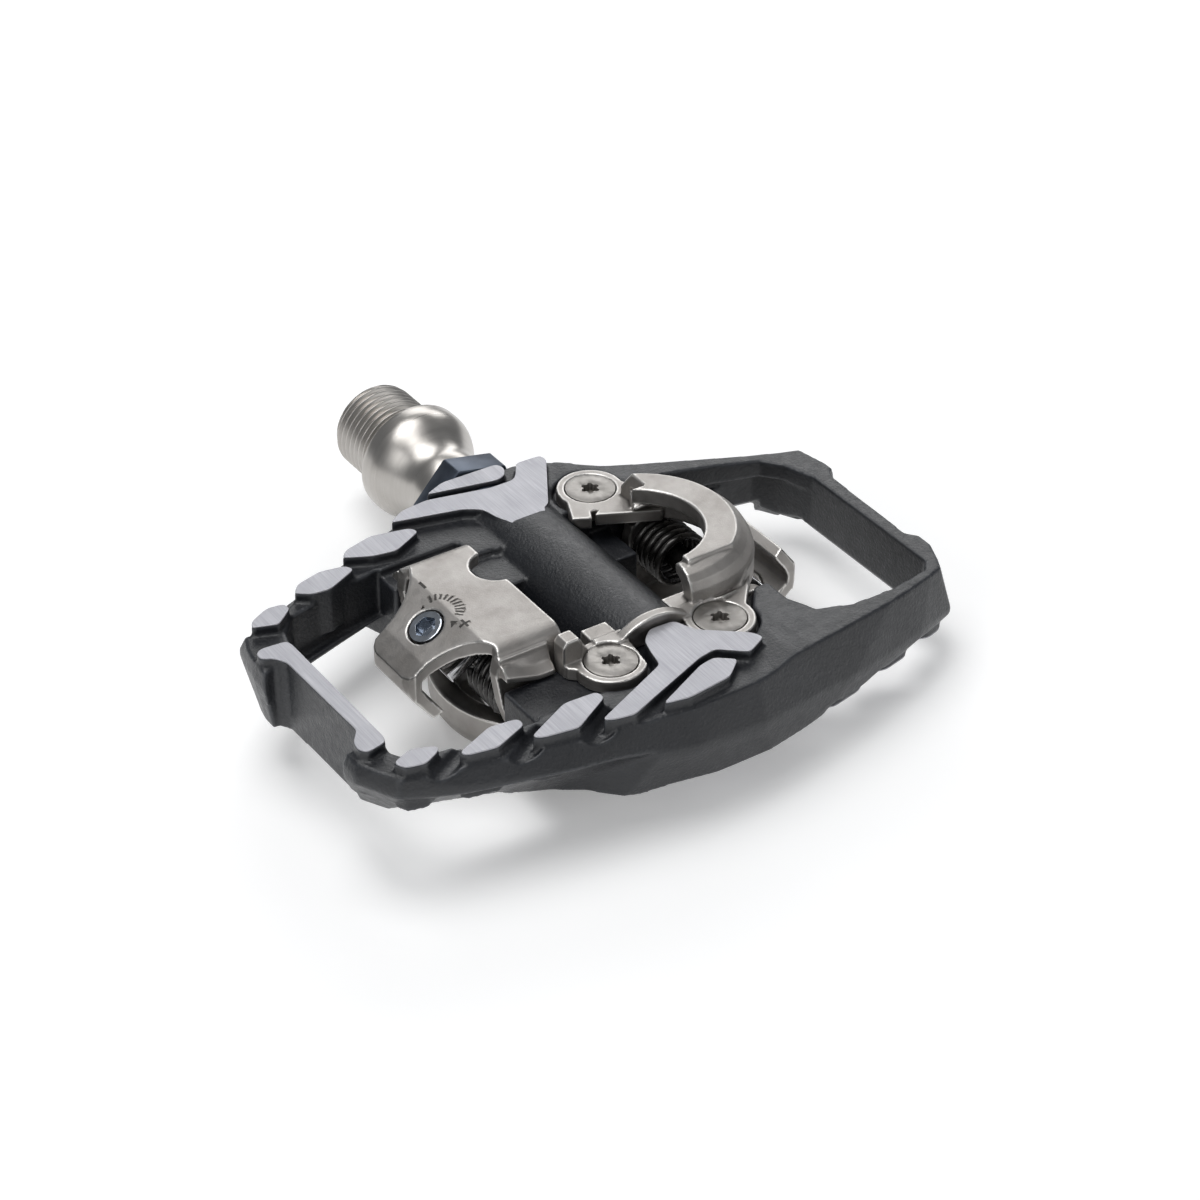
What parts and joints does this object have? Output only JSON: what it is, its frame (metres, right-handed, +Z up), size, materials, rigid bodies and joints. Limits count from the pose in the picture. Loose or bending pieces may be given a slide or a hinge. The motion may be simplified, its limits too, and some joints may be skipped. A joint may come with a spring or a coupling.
{
  "type": "clipless pedal",
  "caption": "Double-sided clipless trail pedal with a caged platform, a fixed front claw and a sprung rear binding on each face, and a sealed spindle with a pedal thread.",
  "frame": {"origin": "on the spindle axis at the shoulder that seats on the crank arm, where the pedal thread starts", "axes": "+X to the front of the bicycle, +Y along the spindle into the crank arm, +Z up with the shown face on top"},
  "size_m": [0.0998, 0.097, 0.024],
  "materials": {
    "spindle_steel": "satin ground",
    "seal_rubber": "moulded",
    "nut_anodised": "grey-blue anodised",
    "bush_resin": "moulded",
    "hidden_steel": "ground",
    "ball_steel": "polished",
    "cage_black": "satin black forging with machined bright pads",
    "blasted_steel": "bead blasted",
    "screw_steel": "satin",
    "pin_steel": "blackened",
    "spring_steel": "oiled black",
    "bolt_chrome": "bright plated",
    "nut_chrome": "bright plated"
  },
  "bodies": {
    "spindle_unit": {"spindle": "spindle_steel", "bearing_cone": "hidden_steel", "cone_washer": "hidden_steel", "cone_lock_nut": "hidden_steel"},
    "pedal": {"pedal_body": "cage_black", "lock_nut": "nut_anodised", "inboard_bush": "bush_resin", "spindle_seal": "seal_rubber", "bearing_sleeve": "hidden_steel", "top_claw_plate": "blasted_steel", "top_plate_screws": "screw_steel", "top_pivot_pin": "pin_steel", "top_spring_inboard": "spring_steel", "top_spring_outboard": "spring_steel", "bottom_claw_plate": "blasted_steel", "bottom_plate_screws": "screw_steel", "bottom_pivot_pin": "pin_steel", "bottom_spring_inboard": "spring_steel", "bottom_spring_outboard": "spring_steel"},
    "inner_ball_ring": {"inner_balls": "ball_steel"},
    "outer_ball_ring": {"outer_balls": "ball_steel"},
    "top_jaw": {"top_binding": "blasted_steel"},
    "top_adjuster": {"top_tension_bolt": "bolt_chrome"},
    "top_slider": {"top_tension_nut": "nut_chrome"},
    "bottom_jaw": {"bottom_binding": "blasted_steel"},
    "bottom_adjuster": {"bottom_tension_bolt": "bolt_chrome"},
    "bottom_slider": {"bottom_tension_nut": "nut_chrome"}
  },
  "joints": [
    {"name": "pedal_spin", "type": "hinge", "parent": "spindle_unit", "child": "pedal", "pos_m": [0, -0.05, 0], "axis": [0, 1, 0], "continuous": true},
    {"name": "inner_balls_roll", "type": "hinge", "parent": "spindle_unit", "child": "inner_ball_ring", "pos_m": [0, -0.029, 0], "axis": [0, 1, 0], "continuous": true},
    {"name": "outer_balls_roll", "type": "hinge", "parent": "spindle_unit", "child": "outer_ball_ring", "pos_m": [0, -0.056, 0], "axis": [0, 1, 0], "continuous": true},
    {"name": "top_release", "type": "hinge", "parent": "pedal", "child": "top_jaw", "pos_m": [-0.0185, -0.05, 0], "axis": [0, -1, 0], "range_deg": [0, 16], "stiffness_Nm_per_rad": 2, "springref_deg": -5.73, "deforming": ["top_spring_inboard", "top_spring_outboard"]},
    {"name": "top_tension_turn", "type": "hinge", "parent": "top_jaw", "child": "top_adjuster", "pos_m": [-0.02746, -0.05, 0.0085], "axis": [-0.5, 0, 0.866], "range_deg": [-360, 360]},
    {"name": "top_tension_travel", "type": "slide", "parent": "top_jaw", "child": "top_slider", "axis": [-0.5, 0, 0.866], "range_m": [-0.00071, 0.00071]},
    {"name": "bottom_release", "type": "hinge", "parent": "pedal", "child": "bottom_jaw", "pos_m": [0.0185, -0.05, 0], "axis": [0, -1, 0], "range_deg": [0, 16], "stiffness_Nm_per_rad": 2, "springref_deg": -5.73, "deforming": ["bottom_spring_inboard", "bottom_spring_outboard"]},
    {"name": "bottom_tension_turn", "type": "hinge", "parent": "bottom_jaw", "child": "bottom_adjuster", "pos_m": [0.02746, -0.05, -0.0085], "axis": [0.5, 0, -0.866], "range_deg": [-360, 360]},
    {"name": "bottom_tension_travel", "type": "slide", "parent": "bottom_jaw", "child": "bottom_slider", "axis": [0.5, 0, -0.866], "range_m": [-0.00071, 0.00071]}
  ],
  "couplings": [
    {"joint": "inner_balls_roll", "follows": "pedal_spin", "ratio": 0.6293},
    {"joint": "outer_balls_roll", "follows": "pedal_spin", "ratio": 0.6293},
    {"joint": "top_tension_travel", "follows": "top_tension_turn", "m_per_rad": -0.00011141},
    {"joint": "bottom_tension_travel", "follows": "bottom_tension_turn", "m_per_rad": -0.00011141}
  ]
}
